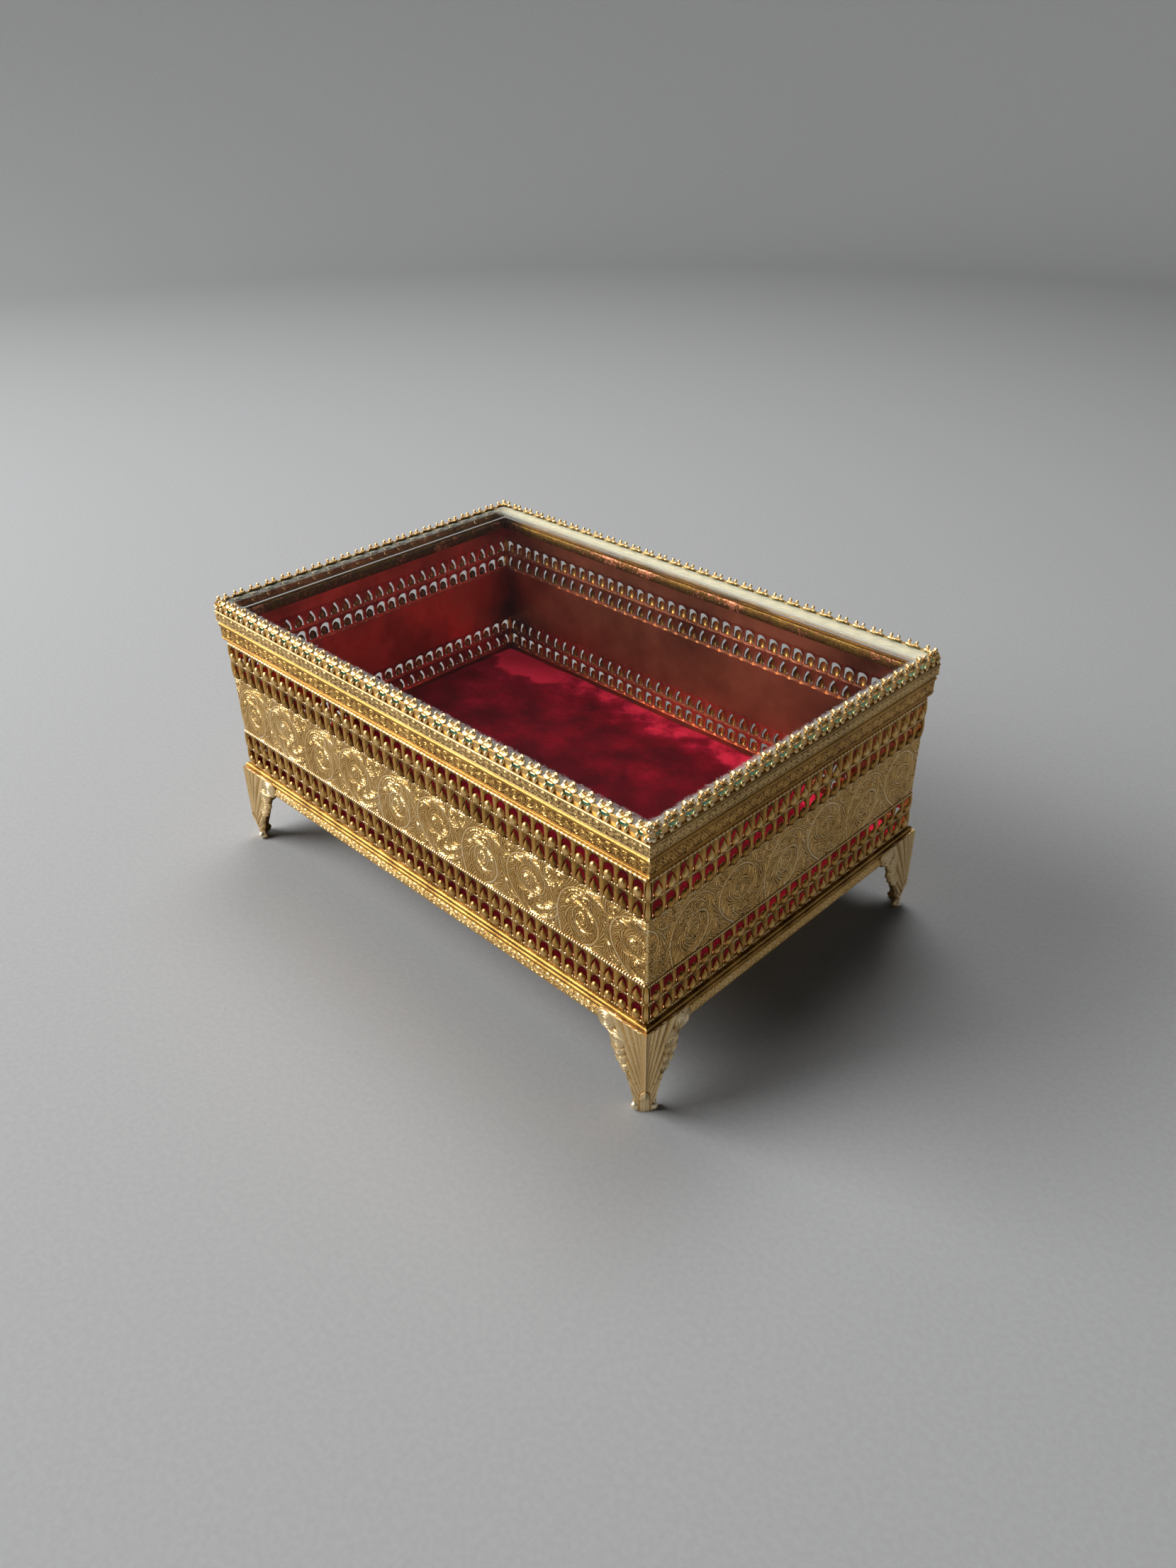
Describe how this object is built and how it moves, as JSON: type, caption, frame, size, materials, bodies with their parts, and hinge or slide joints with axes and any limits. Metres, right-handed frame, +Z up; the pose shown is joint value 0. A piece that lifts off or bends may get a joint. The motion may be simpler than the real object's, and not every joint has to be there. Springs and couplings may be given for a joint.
{
  "type": "glass casket box",
  "caption": "Rectangular jewel casket in pierced gilt metal with leaf feet, a hinged bevelled glass lid in a leaf-crested frame, and a velvet pad inside",
  "frame": {"origin": "on the ground under the middle of the casket", "axes": "+X to the right along the long side, +Y to the back where the hinge is, +Z up"},
  "size_m": [0.181, 0.1229, 0.088],
  "materials": {
    "gilt_walls": "aged gilding over pierced and chased relief, brown in the hollows",
    "gilt_trims": "aged gilding, satin rolls with a leafy edge",
    "gilt_lid": "aged gilding, bright on the leaf tips",
    "gilt_feet": "matt gilding over cast leaf ribs",
    "bottom_metal": "dull plain sheet",
    "board": "plain pulp board, hidden",
    "velvet": "deep crimson velvet with crushed pile",
    "glass": "clear polished glass with a ground bevel",
    "hinge_metal": "plain satin brass",
    "pin_steel": "drawn wire"
  },
  "bodies": {
    "casket": {"wall_front": "gilt_walls", "wall_right": "gilt_walls", "wall_back": "gilt_walls", "wall_left": "gilt_walls", "rim_front": "gilt_trims", "rim_right": "gilt_trims", "rim_back": "gilt_trims", "rim_left": "gilt_trims", "base_trim_front": "gilt_trims", "base_trim_right": "gilt_trims", "base_trim_back": "gilt_trims", "base_trim_left": "gilt_trims", "bottom_plate": "bottom_metal", "pad_board": "board", "velvet_pad": "velvet", "foot_front_left": "gilt_feet", "foot_front_right": "gilt_feet", "foot_back_left": "gilt_feet", "foot_back_right": "gilt_feet", "hinge_leaf_body": "hinge_metal", "hinge_pin": "pin_steel"},
    "lid": {"lid_frame_front": "gilt_lid", "lid_frame_right": "gilt_lid", "lid_frame_back": "gilt_lid", "lid_frame_left": "gilt_lid", "bevelled_glass": "glass", "hinge_leaf_lid": "hinge_metal"}
  },
  "joints": [
    {"name": "lid_hinge", "type": "hinge", "parent": "casket", "child": "lid", "pos_m": [0, 0.06125, 0.08], "axis": [-1, 0, 0], "range_deg": [0, 100]}
  ]
}
